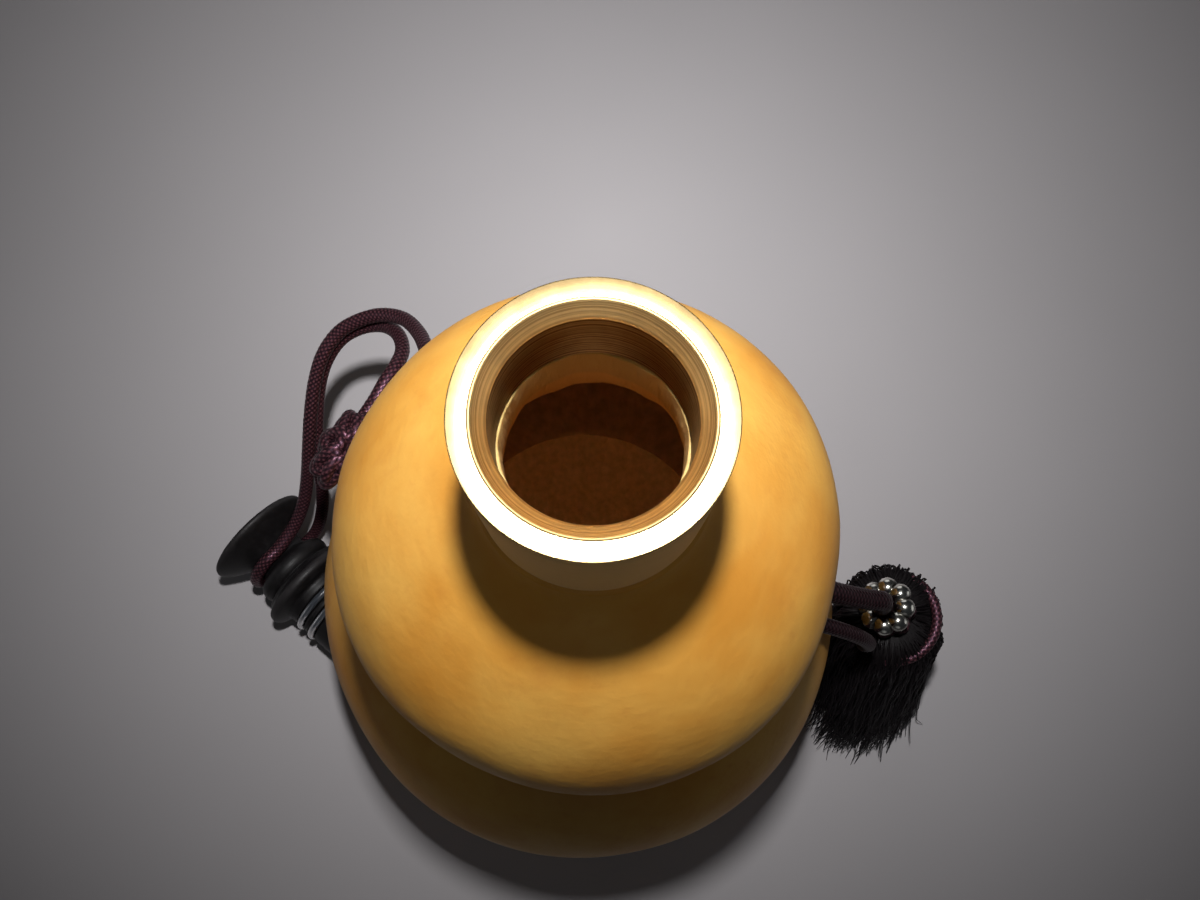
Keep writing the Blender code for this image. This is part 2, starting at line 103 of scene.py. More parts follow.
RIM_RADIUS = 15
FLANGE_RADIUS = 13.8
STOPPER_LENGTH = 42
FLANGE_AT = 21
GROOVE_AT = 9.8
SEALS_AT = (27.4, 31.4)
SEAL_RADIUS = 9.85
SEAL_THICKNESS = 1.8
STOPPER_RIM_CENTRE = (-91.7, 18)
STOPPER_AZIMUTH = -40

# ---- Cords ----

CORD_DIAMETER = 3.4  # of the waist cord, the shoulder cord and the leash
WAIST_CORD_RADIUS = 31.1
WAIST_CORD_HEIGHTS = (102.2, 105.8)
WAIST_CORD_CENTRE = (1.53, 0.21)
TASSEL_CORD_DIAMETER = 4.4
LOWER_CORD_DIAMETER = 3.2
NOOSE_RADIUS = 9.1
NOOSE_ANGLES = (78, 300)

LEASH_OUT = (
    (-20.5, 25.2, 101), (-25.5, 32, 98.3), (-30.4, 39.6, 93.2), (-34.2, 47.2, 87),
    (-37.6, 54, 80.6), (-42.4, 59.6, 75), (-48.6, 62.2, 70.8), (-54.7, 62, 67.6), (-60.2, 59.8, 64.8),
    (-64.4, 55.2, 61.6), (-67.1, 49.4, 57.2), (-69, 42.4, 51.6), (-70.8, 35.2, 44.4), (-72.8, 29.6, 36.6),
    (-75, 24.4, 30.2), (-78.2, 19, 25.4),
)
LEASH_BACK = (
    (-76.9, 20, 9.6), (-73.6, 24.4, 17), (-71.4, 29.4, 27), (-70.4, 34.8, 37.8), (-68.8, 42.4, 46.4),
    (-67.4, 49.4, 52.2), (-65, 55, 56.6), (-61, 59.6, 60), (-55.6, 61.8, 62.8), (-49.6, 61.4, 65.9),
    (-44.8, 57.8, 70.4), (-42.4, 52.4, 74.4), (-42.8, 47.2, 77.8), (-44.4, 43.2, 79.2), (-46.2, 39.4, 79),
    (-47.8, 36.9, 78.2),
)
LEASH_IN_KNOT = (-50.6, 32.2, 77.9)
SHOULDER_ROUTE = (
    (-28.8, 15.1, 101.6), (-33.2, 17.6, 100), (-38, 20.1, 96.4), (-43, 22.6, 91.8),
    (-47, 24.5, 87.4), (-49.9, 25.9, 83.6),
)
TASSEL_ROUTE = (
    (35.6, -1.7, 103.4), (39.2, -2.2, 101.6), (44.2, -2.8, 98.2), (50, -3.2, 93.2), (55.3, -3.4, 87.6),
    (60.5, -3.4, 82.1), (65.2, -3.2, 77.1), (67.2, -3, 71), (68.8, -2.8, 65.6), (70.2, -2.7, 59.8),
)
LOWER_ROUTE = (
    (35.5, -8.3, 101.4), (39.2, -8.7, 99.6), (44.2, -9.3, 96), (50, -9.9, 90.8), (55.3, -10.5, 85),
    (60, -11.2, 79), (63.4, -11.7, 72), (65.2, -11.8, 65), (65.6, -11.2, 59.4), (66.6, -9.4, 54.8),
)

# ---- Knots and tassel ----

KNOT_CENTRE = (-53.1, 27.5, 77.9)
KNOT_RADII = (5.3, 9.6, 6.2)
BEAD_CENTRE = (71.1, -2.6, 60)
BEAD_COUNT = 8
BALL_RADIUS = 2.3
BALL_RING_RADIUS = 4.4
TASSEL_LEAN = (3.9, -0.9, -9)
BEAD_LEAN = (6.4, -0.9, -9)
HEAD_CENTRE = (73.1, -3.1, 54.4)
HEAD_RADIUS = 6.2
HEAD_HALF_HEIGHT = 3
CROWN_CENTRE = (75.6, -4, 48.6)
CROWN_RADIUS = 10.6
CROWN_THICKNESS = 2.4
# The threads' middle line and how far they reach from it: out of the head, over the crown and down.
MOP_ROUTE = (
    (73.8, -3.2, 53.2), (74.3, -3.5, 53.9), (74.8, -3.9, 52.6), (75.3, -4.3, 49.2), (75.7, -5.6, 44),
    (76.2, -9.4, 34), (77, -14.4, 22), (77.2, -19.6, 10), (77, -24, -1),
)
MOP_RADII = (2.8, 8, 11.8, 13.6, 14.2, 14.6, 15.2, 15.8, 16.2)
# Where the threads part and the crown shows: angle round the head and half width, in radians.
PARTINGS = ((0, 0.26), (4, 0.2))

# ---- Camera and lights: the camera's place is in millimetres, and the lights' are in metres ----

CAMERA_PLACE = (3.92, -26.67, 293.31)
CAMERA_DOWN = 75.616  # degrees below the horizon
CAMERA_ROLL = 1.421
CAMERA_LENS = 30
CAMERA_SENSOR = 36

KEY_SPREAD, KEY_PLACE, KEY_AIM = 90, (0.004, 0.02, 0.34), (0.004, 0.12, 0)
FILL_WIDTH, FILL_SPREAD, FILL_PLACE, FILL_AIM = 0.06, 26, (0, -0.16, 0.33), (0.003, -0.014, 0.178)
SIDE_WIDTH, SIDE_SPREAD, SIDE_DISTANCE, SIDE_HEIGHT, SIDE_AIM = 0.5, 100, 0.7, 0.15, (0, 0, 0.08)
SIDE_LIGHTS = ((0, 0.8), (90, 1), (180, 0.8), (270, 0.2))  # each one's azimuth and share of power
FLOOR_HALF_WIDTH = 1.6

ROW_SPACING = 0.22  # of a braided cord's rows, in mm: about six for each crossing


def rgb(code):
    """Linear red, green and blue of an sRGB hex colour, and an opaque alpha."""
    channels = [int(code[i : i + 2], 16) / 255 for i in (0, 2, 4)]
    return (*[c / 12.92 if c <= 0.04045 else ((c + 0.055) / 1.055) ** 2.4 for c in channels], 1.0)


def dimmed(tint, share):
    """The colour times a share, still opaque."""
    return (*[share * channel for channel in tint[:3]], 1.0)


def colour(name, description, code):
    return FloatVectorProperty(
        name=name, description=description, default=rgb(code), subtype="COLOR", size=4, min=0, max=1
    )


def length(name, description, millimetres):
    return FloatProperty(name=name, description=description, default=millimetres * MM, unit="LENGTH", min=0)


# ---- Settings a user would change ----


class GourdSkinLook(PropertyGroup):
    pale: colour("Pale skin", "Colour where the rind is clean and light", "CE9D4A")
    deep: colour("Deep skin", "Colour where the rind has ripened darker", "BD802F")
    streak: colour("Streak", "The faint veins and scuffs", "A8622A")
    cut_edge: colour("Cut edge", "Woody colour of the sawn neck", "A38C58")
    throat: colour("Throat", "The bored wall inside the neck", "DCA25C")
    pith: colour("Pith", "The dried inner wall", "F8CB98")
    patch: length("Patch size", "Width of a patch of deeper colour", 30)
    peel: length("Peel size", "Width of one pore of the rind's fine peel", 1.7)


class BrassLook(PropertyGroup):
    metal: colour("Brass", "The clean metal", "EBC98C")
    stain: colour("Stain", "The browned metal in the bore", "7E4E12")
    line: length("Tool line", "Spacing of the lines that the turning tool left", 0.42)


class StopperLook(PropertyGroup):
    lacquer: colour("Lacquer", "The turned stopper", "0D0B0C")
    scuff: colour("Scuff", "Its rubbed edges", "2A2728")
    seal: colour("Seal", "Tint of the clear sealing rings", "5E636C")


class CordLook(PropertyGroup):
    yarn: colour("Yarn", "The yarn's raised parts", "5A363C")
    # The hollow colour is painted shade: near-black laid where the braid is low, between the strands.
    hollow: colour("Hollow", "Colour between the strands", "080405")
    pitch: length("Braid pitch", "Length of braid from one crossing to the next", 1.3)
    strands: IntProperty(name="Strands", description="Strands that wind each way", default=8, min=2, max=24)


class TasselLook(PropertyGroup):
    thread: colour("Thread", "The tassel's threads", "070405")
    sheen: colour("Sheen", "The light along a thread", "4B3A48")
    silver: colour("Silver", "The clean balls", "DAD8D0")
    tarnish: colour("Tarnish", "The metal between the balls", "2E2A26")
    threads: IntProperty(name="Threads", description="How many hang down", default=1300, min=50, max=2500)
    width: length("Thread width", "Width of one thread", 0.5)


def power(name, description, watts):
    return FloatProperty(name=name, description=description, default=watts, unit="POWER", min=0, precision=5)


class StageLook(PropertyGroup):
    floor: colour("Floor", "The plain floor", "A9A5A7")
    sky: colour("Surround", "Light from all round", "DDE2EC")
    key_power: power("Light power", "Power of the soft light", 0.35)
    fill_power: power("Fill power", "Power of the weak light from the front", 0.0007)
    side_power: power("Side power", "Power of a wide light at the side", 0.13)
    key_width: length("Light width", "Diameter of the soft light", 14)
    surround: FloatProperty(name="Surround strength", description="Strength of that light", default=0.024)


# ---- Shapes ----


def curve_through(points, spacing):
    """Even points on the Catmull-Rom curve through the given ones.

    Between b and c the curve is half of 2b + (c - a)t + (2a - 5b + 4c - d)t^2 + (3b - a - 3c + d)t^3, where a
    and d are the points before and after. It is then measured, and cut into steps of about the spacing.
    """
    points = np.asarray(points, float)
    padded = np.vstack([2 * points[0] - points[1], points, 2 * points[-1] - points[-2]])
    t = np.linspace(0, 1, 24, endpoint=False)[None, :, None]
    a, b, c, d = (padded[i : len(padded) - 3 + i, None] for i in range(4))
    runs = 2 * b + (c - a) * t + (2 * a - 5 * b + 4 * c - d) * t**2 + (3 * b - a - 3 * c + d) * t**3
    return even(np.vstack([runs.reshape(-1, points.shape[1]) / 2, points[-1:]]), spacing)


def travelled(points):
    """Distance along a line of points, from its first."""
    return np.concatenate([[0], np.cumsum(np.linalg.norm(np.diff(points, axis=0), axis=1))])


def even(points, spacing):
    """The same line cut into steps of about the spacing."""
    far = travelled(points)
    stops = np.linspace(0, far[-1], math.ceil(far[-1] / spacing) + 1)
    return np.stack([np.interp(stops, far, column) for column in points.T], 1)


def rounded(corners, size, steps=6, closed=False):
    """An outline whose corners are short curves.

    Each curve starts and ends size away from its corner, or 0.45 of the way to the next corner if that is
    nearer, and is (1 - t)^2 start + 2t(1 - t) corner + t^2 end.
    """
    corners = np.asarray(corners, float)
    middle = corners if closed else corners[1:-1]
    before = np.roll(corners, 1, 0) if closed else corners[:-2]
    after = np.roll(corners, -1, 0) if closed else corners[2:]

    def towards(other):
        step = other - middle
        run = np.linalg.norm(step, axis=1, keepdims=True)
        return (middle + step / run * np.minimum(size, 0.45 * run))[:, None]

    t = np.linspace(0, 1, steps)[None, :, None]
    curves = (1 - t) ** 2 * towards(before) + 2 * t * (1 - t) * middle[:, None] + t**2 * towards(after)
    curves = curves.reshape(-1, 2)
    return curves if closed else np.vstack([corners[:1], curves, corners[-1:]])


def unit(vectors):
    return vectors / np.linalg.norm(vectors, axis=-1, keepdims=True)


def ring_angles(columns):
    return np.linspace(0, 2 * np.pi, columns, endpoint=False)


def turned(outline, columns, centre=(0, 0, 0), axis=(0, 0, 1)):
    """An outline of (radius, distance along) turned round an axis.

    A point is centre + along times axis + radius times (cos a times side + sin a times up).
    """
    axis = unit(np.asarray(axis, float))
    side = unit(np.cross((0, 1, 0), axis))
    up = np.cross(axis, side)
    a = ring_angles(columns)[None, :, None]
    radius, along = outline[:, 0, None, None], outline[:, 1, None, None]
    return (np.asarray(centre) + along * axis + radius * (cos(a) * side + sin(a) * up))[None]


def swept(path, radii, columns, towards, closed=False):
    """A round section carried along a path.

    A point is the path's point + radius times (cos a times side + sin a times up), where side is the part of
    towards that is square to the path, and up is square to both. radii is one number, or one for each row, or
    one for each point.
    """
    ahead, behind = (np.roll(path, -1, 0), np.roll(path, 1, 0)) if closed else (path, path)
    along = unit(ahead - behind) if closed else unit(np.gradient(path, axis=0))
    towards = np.broadcast_to(np.asarray(towards, float), path.shape)
    side = unit(towards - np.sum(towards * along, axis=1, keepdims=True) * along)
    up = np.cross(along, side)
    a = ring_angles(columns)[None, :, None]
    radii = np.asarray(radii, float)
    radii = radii.reshape(radii.shape + (1,) * (3 - radii.ndim)) if radii.ndim else radii
    return (path[:, None] + radii * (cos(a) * side[:, None] + sin(a) * up[:, None]))[None]


def braid(along, around, pitch, strands):
    """Height of a braid over its length and once round, from about 0 in its hollows to 1 on its crossings.

    Two families of bands wind opposite ways. A band's height is its crown, 1 - (2f - 1)^2 across its width f,
    plus a sine that lifts it over one band of the other family and under the next. The higher one shows.
    """
    first = strands * around + along / pitch
    second = strands * around - along / pitch

    def family(band, other, sign):
        crown = 1 - (2 * (band % 1) - 1) ** 2
        weave = sign * sin(np.pi * (other + np.floor(band)))
        return 0.55 * crown + 0.45 * weave

    return np.maximum(family(first, second, 1), family(second, first, -1))


def braided(path, diameter, look, towards, columns=40, closed=False, strands=None):
    """A braided cord along a path, as (grid, height of the braid at each point), with rounded ends."""
    far = travelled(path)
    count = look.strands if strands is None else strands
    relief = braid(far[:, None], np.linspace(0, 1, columns, endpoint=False)[None], look.pitch / MM, count)
    radius = diameter / 2
    radii = radius * (0.9 + 0.12 * relief)
    if not closed:
        end = np.clip(np.minimum(far, far[-1] - far) / radius, 0.02, 1)
        radii = radii * np.sqrt(1 - (1 - end) ** 2)[:, None]
    return swept(path, radii, columns, towards, closed), relief


def woven_knot(centre, radii, turn, cord, bights, turns, reach, steps=900):
    """The closed path of a woven ball knot, and the direction out of the ball along it.

    Going round the ball turns times, the path swings bights times between latitudes -reach and reach. It goes
    over and under itself: the lift is -cos(turns c) with the sign of sin c, where c is the swing's angle.
    """
    t = np.linspace(0, 1, steps, endpoint=False)
    swing = 2 * np.pi * bights * t
    longitude = 2 * np.pi * turns * t
    latitude = reach * cos(swing)
    lift = -cos(turns * swing) * np.clip(3 * sin(swing), -1, 1)
    level = cos(latitude)
    on_ball = np.stack([level * cos(longitude), level * sin(longitude), sin(latitude)], 1)
    scaled = on_ball * (np.asarray(radii) - cord * 0.85) * (1 + 0.055 * lift[:, None])
    out = unit(on_ball / np.asarray(radii))
    return np.asarray(centre) + scaled @ turn.T, out @ turn.T


def ball(centre, radii, rows, columns, turn=None):
    """An egg shape: its rows are rings at even latitudes."""
    latitude = np.radians(np.linspace(-89, 89, rows))[:, None]
    a = ring_angles(columns)[None]
    level = cos(latitude)
    on_ball = np.stack([level * cos(a), level * sin(a), sin(latitude) + 0 * a], -1)
    scaled = on_ball * np.asarray(radii)
    return (np.asarray(centre) + (scaled if turn is None else scaled @ turn.T))[None]


def frame_of(axis):
    """A turn whose third column is the axis."""
    return np.array(Vector(axis).to_track_quat("Z", "Y").to_matrix())


# ---- Meshes ----


def grid_faces(first, count, rows, columns, closed):
    """Corner numbers of the cells of like grids, and of the faces that close each one's end rows."""
    number = first + np.arange(count * rows * columns).reshape(count, rows, columns)
    if closed:
        number = np.concatenate([number, number[:, :1]], 1)
    beside = np.roll(number, -1, 2)
    cells = np.stack([number[:, :-1], beside[:, :-1], beside[:, 1:], number[:, 1:]], -1)
    ends = [] if closed else np.concatenate([number[:, 0, ::-1], number[:, -1]]).tolist()
    return cells.reshape(-1, 4).tolist(), ends


def grid_uv(grids, closed):
    """For each cell's corners, the distance along in millimetres and the turns round."""
    rows = np.concatenate([grids, grids[:, :1]], 1) if closed else grids
    steps = np.linalg.norm(np.diff(rows[:, :, 0], axis=1), axis=-1)
    along = np.concatenate([np.zeros((len(rows), 1)), np.cumsum(steps, axis=1)], 1)
    around = np.linspace(0, 1, grids.shape[2] + 1)
    low, high, left, right = along[:, :-1, None], along[:, 1:, None], around[:-1], around[1:]
    corners = [(low, left), (low, right), (high, right), (high, left)]
    return np.stack([np.stack(np.broadcast_arrays(*pair), -1) for pair in corners], -2).reshape(-1, 2)


def make_piece(name, node, slot, parts, material, values=None):
    """One object in the place of a CAD node, with the material given.

    Each part is (grids, closed), where grids is (how many, rows, columns, xyz) in millimetres. values gives
    an attribute one number for each point, or for each row of a single grid.
    """
    cells, ends, uvs, points = [], [], [], []
    first = 0
    for grids, closed in parts:
        count, rows, columns = grids.shape[:3]
        quads, caps = grid_faces(first, count, rows, columns, closed)
        cells += quads
        ends += caps
        uvs.append(grid_uv(grids, closed))
        points.append(grids.reshape(-1, 3) * MM)
        first += count * rows * columns
    mesh = bpy.data.meshes.new(name)
    mesh.from_pydata(np.concatenate(points), [], cells + ends)
    flat = np.zeros((len(mesh.loops), 2), np.float32)
    flat[: 4 * len(cells)] = np.concatenate(uvs)
    mesh.uv_layers.new(name="UVMap").data.foreach_set("uv", flat.ravel())
    for title, numbers in (values or {}).items():
        numbers = np.asarray(numbers, np.float32).ravel()
        layer = mesh.attributes.new(title, "FLOAT", "POINT")
        layer.data.foreach_set("value", np.repeat(numbers, len(mesh.vertices) // len(numbers)))
    mesh.shade_smooth()
    mesh.materials.append(material)
    obj = bpy.data.objects.new(name, mesh)
    bpy.context.scene.collection.objects.link(obj)
    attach(obj, BODY)
    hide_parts(node)
    return obj


def braid_piece(name, node, path, diameter, look, towards, material, core=None, **shape):
    """A braided piece along a path, wound over a core where it has one."""
    grid, raised = braided(path, diameter, look, towards, **shape)
    parts = [(grid, shape.get("closed", False))]
    if core is not None:
        parts.append((core, False))
        # The core gets no braid height, so it takes the near-black hollow colour: painted shade between the
        # knot's strands.
        raised = np.concatenate([raised.ravel(), np.zeros(core.size // 3)])
    return make_piece(name, node, "brown_cord", parts, material, {"raised": raised})


def knot_piece(name, node, centre, radii, turn, reach, cord, inset, look, material, **shape):
    """A woven ball knot of seven bights in four turns over a core: cord is (spacing, diameter)."""
    path, outward = woven_knot(centre, radii, turn, cord[0], 7, 4, reach)
    core = ball(centre, np.array(radii) - inset, 14, 24, turn)
    return braid_piece(name, node, path, cord[1], look, outward, material, core, closed=True, **shape)


def lay_cord(name, node, points, diameter, look, towards, material, far_end, every=6, **more):
    """A braided cord through the points."""
    route = curve_through(points, ROW_SPACING)
    braid_piece(name, node, route, diameter, look, towards, material)


# ---- Materials ----


def add(tree, kind, inputs=None, output=0, **settings):
    """Adds a node with its settings and its inputs, which are values or links, and gives one output."""
    node = tree.nodes.new("ShaderNode" + kind)
    for name, value in settings.items():
        setattr(node, name, value)
    for key, value in (inputs or {}).items():
        if isinstance(value, bpy.types.NodeSocket):
            tree.links.new(value, node.inputs[key])
        else:
            node.inputs[key].default_value = value
    return node.outputs[output]


def finish_of(name, **constants):
    """A new Principled material, with the values that are the same all over, and add for its tree."""
    material = bpy.data.materials.new(name)
    material.use_nodes = True
    shader = material.node_tree.nodes["Principled BSDF"]
    for key, value in constants.items():
        shader.inputs[key.replace("_", " ")].default_value = value
    return material, partial(add, material.node_tree)


def join(material, **outputs):
    """Links each output to the shader's input of that name."""
    tree = material.node_tree
    for key, output in outputs.items():
        tree.links.new(output, tree.nodes["Principled BSDF"].inputs[key.replace("_", " ")])
    return material


METRE = 1000  # in millimetres: METRE / w is the scale on Object coordinates of a pattern w wide

# A Mix node's sockets and settings when it blends two colours.
SHARE, FIRST, SECOND = 0, 6, 7
COLOURS = {"output": 2, "data_type": "RGBA"}


def dried_rind(look):
    """Dried calabash rind, scraped and hand-rubbed: satin and waxy, with cloudy honey patches, faint veins,
    fine pores that break up the gloss, a pale sawn neck and a dull fibrous pith inside."""
    material, node = finish_of("dried_rind", IOR=1.4, Specular_IOR_Level=0.3)
    place = node("TexCoord", output="Object")
    along = node("Mapping", {"Vector": place, "Scale": (1.0, 1.0, 0.22)})
    clouds = node("TexNoise", {"Vector": place, "Scale": 1 / look.patch, "Detail": 4.0, "Roughness": 0.55})
    veins = node("TexNoise", {"Vector": along, "Scale": METRE / 9, "Detail": 6.0, "Roughness": 0.7})
    freckles = node("TexNoise", {"Vector": place, "Scale": METRE / 2.4, "Detail": 3.0})
    fibres = node("TexNoise", {"Vector": along, "Scale": METRE / 1.6, "Detail": 5.0})
    pores = node("TexNoise", {"Vector": place, "Scale": 1 / look.peel, "Detail": 2.0})
    ripe = node("MapRange", {"Value": clouds, "From Min": 0.38, "From Max": 0.66})
    veined = node("MapRange", {"Value": veins, "From Min": 0.58, "From Max": 0.78, "To Max": 0.3})
    freckled = node("MapRange", {"Value": freckles, "From Min": 0.6, "From Max": 0.8, "To Max": 0.16})
    fibrous = node("MapRange", {"Value": fibres, "From Min": 0.3, "From Max": 0.75, "To Max": 0.5})
    shares = ("inside", "cut", "throat")
    inside, cut, throat = (node("Attribute", output="Fac", attribute_name=x) for x in shares)
    skin, pith = look.pale, look.pith
    for share, tint in ((ripe, look.deep), (veined, look.streak), (freckled, look.streak)):
        skin = node("Mix", {SHARE: share, FIRST: skin, SECOND: tint}, **COLOURS)
    for share, tint in ((fibrous, look.cut_edge), (throat, look.throat)):
        pith = node("Mix", {SHARE: share, FIRST: pith, SECOND: tint}, **COLOURS)
    body = node("Mix", {SHARE: inside, FIRST: skin, SECOND: pith}, **COLOURS)
    body = node("Mix", {SHARE: cut, FIRST: body, SECOND: look.cut_edge}, **COLOURS)
    satin = node("MapRange", {"Value": clouds, "To Min": 0.42, "To Max": 0.56})
    dull = node("Math", {0: inside, 1: 0.4, 2: satin}, operation="MULTIPLY_ADD", use_clamp=True)
    peel = node("Bump", {"Strength": 0.35, "Distance": 0.00022, "Height": pores})
    rough = node("Bump", {"Strength": inside, "Distance": 0.0005, "Height": fibres, "Normal": peel})
    return join(material, Base_Color=body, Roughness=dull, Normal=rough)


def turned_brass(look):
    """Yellow brass turned on a lathe: nearly a mirror on its polished top, browned between fine tool lines in
    the chamfer and bore, and rubbed dull down its outside."""
    material, node = finish_of("turned_brass")
    place = node("TexCoord", output="Object")
    distance = node("SeparateXYZ", {0: node("TexCoord", output="UV")})
    lines = {"W": distance, "Scale": MM / look.line, "Detail": 3.0, "Roughness": 0.7}
    tool = node("TexNoise", lines, noise_dimensions="1D")
    blotches = node("TexNoise", {"Vector": place, "Scale": METRE / 3.5, "Detail": 5.0, "Roughness": 0.65})
    browned, brushed = (node("Attribute", output="Fac", attribute_name=x) for x in ("browned", "brushed"))
    lined = node("MapRange", {"Value": tool, "From Min": 0.42, "From Max": 0.58})
    mottled = node("Math", {0: blotches, 1: 0.9, 2: -0.05}, operation="MULTIPLY_ADD")
    streaked = node("Math", {0: lined, 1: 0.95, 2: mottled}, operation="MULTIPLY_ADD")
    share = node("Math", {0: streaked, 1: browned}, operation="MULTIPLY", use_clamp=True)
    metal = node("Mix", {SHARE: share, FIRST: look.metal, SECOND: look.stain}, **COLOURS)
    rubbed = node("MapRange", {"Value": blotches, "To Min": 0.18, "To Max": 0.27})
    dulled = node("Math", {0: brushed, 1: 0.5, 2: rubbed}, operation="MULTIPLY_ADD")
    matt = node("MapRange", {"Value": brushed, "From Min": 0.5, "To Min": 1.0, "To Max": 0.55})
    depth = node("Math", {0: brushed, 1: 0.6, 2: 0.03}, operation="MULTIPLY_ADD")
    bump = node("Bump", {"Strength": depth, "Distance": 0.0001, "Height": tool})
    return join(material, Base_Color=metal, Roughness=dulled, Metallic=matt, Normal=bump)


def black_lacquer(look):
    """Black lacquer over turned wood, rubbed to a satin: a soft wide highlight, faint lathe rings and edges
    worn a little grey."""
    material, node = finish_of(
        "black_lacquer", IOR=1.5, Specular_IOR_Level=0.25, Coat_Weight=0.03, Coat_Roughness=0.35
    )
    place = node("TexCoord", output="Object")
    distance = node("SeparateXYZ", {0: node("TexCoord", output="UV")})
    rings = node("TexNoise", {"W": distance, "Scale": 1 / 0.5, "Detail": 2.0}, noise_dimensions="1D")
    dust = node("TexNoise", {"Vector": place, "Scale": METRE / 2.2, "Detail": 6.0, "Roughness": 0.7})
    worn = node("Attribute", output="Fac", attribute_name="worn")
    patches = node("MapRange", {"Value": dust, "From Min": 0.45, "From Max": 0.7, "To Max": 0.3})
    share = node("Math", {0: worn, 1: 0.6, 2: patches}, operation="MULTIPLY_ADD", use_clamp=True)
    tone = node("Mix", {SHARE: share, FIRST: look.lacquer, SECOND: look.scuff}, **COLOURS)
    satin = node("MapRange", {"Value": dust, "To Min": 0.46, "To Max": 0.6})
    bump = node("Bump", {"Strength": 0.15, "Distance": 0.0001, "Height": rings})
    return join(material, Base_Color=tone, Roughness=satin, Normal=bump)


def clear_silicone(look):
    """Clear moulded silicone, a little cloudy: light passes through, and its edge catches a cool grey."""
    material, node = finish_of("clear_silicone", IOR=1.41, Transmission_Weight=0.7)
    place = node("TexCoord", output="Object")
    cloud = node("TexNoise", {"Vector": place, "Scale": METRE / 1.8, "Detail": 3.0})
    roughness = node("MapRange", {"Value": cloud, "To Min": 0.22, "To Max": 0.4})
    tint = node("Mix", {SHARE: cloud, FIRST: look.seal, SECOND: dimmed(look.seal, 0.75)}, **COLOURS)
    return join(material, Base_Color=tint, Roughness=roughness)


def braided_polyester(look, depth=1.0):
    """Braided filament polyester in a plum brown: each strand's crown has a silky highlight, and the hollows
    between are painted nearly black as shade. A depth below 1 is a darker, duller copy of the same cord: its
    yarn is dimmed as painted shade."""
    material, node = finish_of(
        "braided_polyester", IOR=1.5, Specular_IOR_Level=0.5 * depth, Specular_Tint=rgb("F2B4D2")
    )
    place = node("TexCoord", output="Object")
    raised = node("Attribute", output="Fac", attribute_name="raised")
    filaments = node("TexNoise", {"Vector": place, "Scale": METRE / 0.35, "Detail": 2.0})
    # Painted shade: where the braid is low the colour goes to the near-black hollow colour, and a depth below
    # 1 dims the yarn itself.
    share = node("MapRange", {"Value": raised, "From Min": 0.62, "From Max": 1.0})
    uneven = node("Math", {0: filaments, 1: 0.5, 2: -0.25}, operation="MULTIPLY_ADD", use_clamp=True)
    yarn_over_painted_shade = node("Math", {0: share, 1: uneven}, operation="ADD", use_clamp=True)
    tone = node("Mix", {SHARE: yarn_over_painted_shade, FIRST: look.hollow, SECOND: dimmed(look.yarn, depth)}, **COLOURS)
    silk = node("MapRange", {"Value": raised, "To Min": 0.7, "To Max": 0.27})
    bump = node("Bump", {"Strength": 0.4, "Distance": 0.00008, "Height": filaments})
    return join(material, Base_Color=tone, Roughness=silk, Normal=bump)


def plated_silver(look):
    """Silver plate over cast balls: a mirror where they are rubbed, dark with tarnish where they meet."""
    material, node = finish_of("plated_silver", Metallic=1.0)
    place = node("TexCoord", output="Object")
    blotch = node("TexNoise", {"Vector": place, "Scale": METRE / 1.1, "Detail": 4.0})
    tarnished = node("Attribute", output="Fac", attribute_name="tarnished")
    spots = node("MapRange", {"Value": blotch, "From Min": 0.5, "From Max": 0.75, "To Max": 0.5})
    share = node("Math", {0: tarnished, 1: spots}, operation="ADD", use_clamp=True)
    tone = node("Mix", {SHARE: share, FIRST: look.silver, SECOND: look.tarnish}, **COLOURS)
    roughness = node("MapRange", {"Value": share, "To Min": 0.17, "To Max": 0.45})
    return join(material, Base_Color=tone, Roughness=roughness)


def loose_thread(look):
    """Fine twisted polyester with cut ends: almost black in the mass, with a faint plum sheen on a thread."""
    material, node = finish_of(
        "loose_thread",
        IOR=1.5,
        Specular_IOR_Level=0.2,
        Sheen_Weight=0.05,
        Sheen_Roughness=0.4,
        Sheen_Tint=look.sheen,
    )
    shade = node("Attribute", output="Fac", attribute_name="shade")
    tone = node("Mix", {SHARE: shade, FIRST: look.thread, SECOND: dimmed(look.thread, 1.9)}, **COLOURS)
    roughness = node("MapRange", {"Value": shade, "To Min": 0.5, "To Max": 0.72})
    return join(material, Base_Color=tone, Roughness=roughness)


def matt_floor(look):
    """Plain matt painted board: pale, with no grain and hardly any sheen."""
    material, node = finish_of("matt_floor", Roughness=0.85)
    place = node("TexCoord", output="Object")
    cloud = node("TexNoise", {"Vector": place, "Scale": METRE / 70, "Detail": 2.0})
    paint = node("Mix", {SHARE: cloud, FIRST: look.floor, SECOND: dimmed(look.floor, 0.94)}, **COLOURS)
    return join(material, Base_Color=paint)


# ---- The gourd's outline and growth ----


def ease(value):
    """0 to 1 with level ends: 3x^2 - 2x^3."""
    value = np.clip(value, 0, 1)
    return value * value * (3 - 2 * value)


def arc(radius, half_height, height, start, end, count=120):
    angles = np.radians(np.linspace(start, end, count))
    return np.stack([radius * cos(angles), height + half_height * sin(angles)], 1)


def climb(radius, half_height, degrees):
    """The unit direction in which the arc climbs."""
    a = math.radians(degrees)
    return unit(np.array([-radius * sin(a), half_height * cos(a)]))


def handled(first, first_handle, last_handle, last, count=80):
    """A cubic curve with two handles: the Bernstein sum of its four points."""
    t = np.linspace(0, 1, count)[:, None]
    handles = 3 * (1 - t) ** 2 * t * first_handle + 3 * (1 - t) * t**2 * last_handle
    return (1 - t) ** 3 * first + handles + t**3 * last


